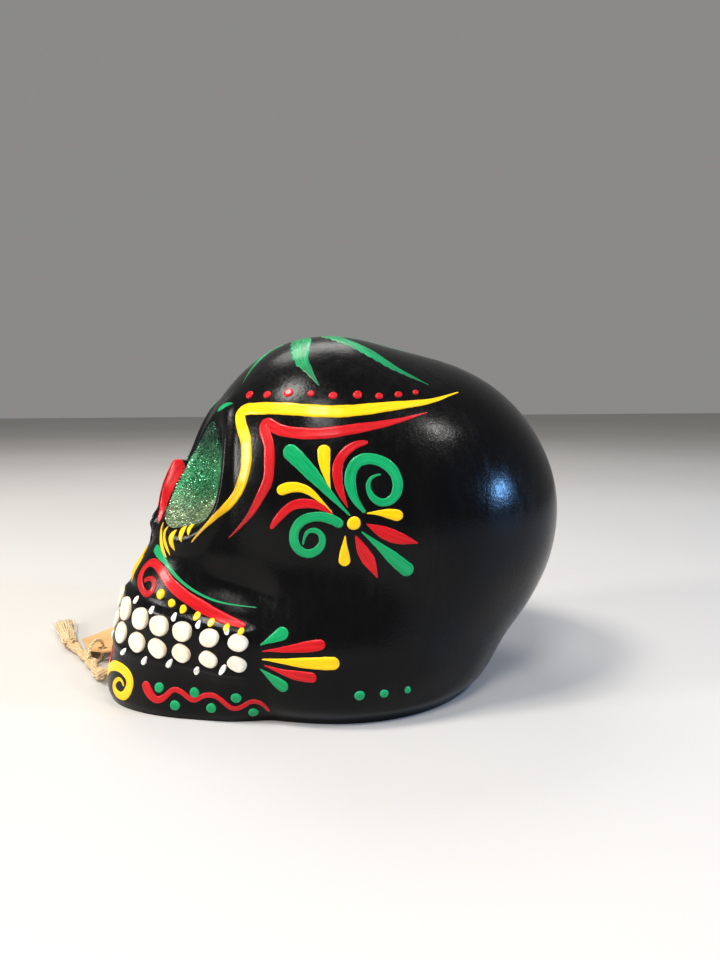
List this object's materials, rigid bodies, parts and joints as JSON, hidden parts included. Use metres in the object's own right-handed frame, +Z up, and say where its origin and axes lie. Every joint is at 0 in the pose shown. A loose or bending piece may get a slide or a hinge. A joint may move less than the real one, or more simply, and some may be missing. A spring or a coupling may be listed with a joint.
{
  "type": "painted calavera skull",
  "caption": "Hollow papier-mache skull ornament with raised teeth, glitter-lined eye sockets and a kraft tag on a jute string.",
  "frame": {"origin": "middle of the skull's footprint, on the surface it stands on", "axes": "-X the way the face looks, +X to the back of the head, +Y to the skull's own right, +Z up through the crown"},
  "size_m": [0.158, 0.1155, 0.1004],
  "materials": {
    "black_shell": "papier-mache under satin black acrylic paint and varnish, with raised coloured brush strokes",
    "seam_paper": "torn newsprint pasted with glue",
    "base_card": "plain matt grey-brown card",
    "green_glitter": "fine green glitter set in clear glue",
    "tooth_paint": "thick cream-white dimensional paint",
    "jute": "coarse natural jute twine, two strands twisted",
    "kraft_card": "smooth kraft card"
  },
  "bodies": {
    "root": {"skull_left": "black_shell", "skull_right": "black_shell", "seam_strip": "seam_paper", "base_board": "base_card", "eye_glitter_left": "green_glitter", "eye_glitter_right": "green_glitter", "teeth_upper": "tooth_paint", "teeth_lower": "tooth_paint", "twine": "jute", "twine_knot": "jute", "twine_tassel": "jute", "anchor_knot": "jute", "tag_loop": "jute"},
    "tag": {"tag_card": "kraft_card"}
  },
  "joints": [
    {"name": "tag_flap", "type": "hinge", "parent": "root", "child": "tag", "pos_m": [-0.0715, 0.025, 0.0041], "axis": [0.829, -0.5592, 0], "range_deg": [0, 100]}
  ]
}
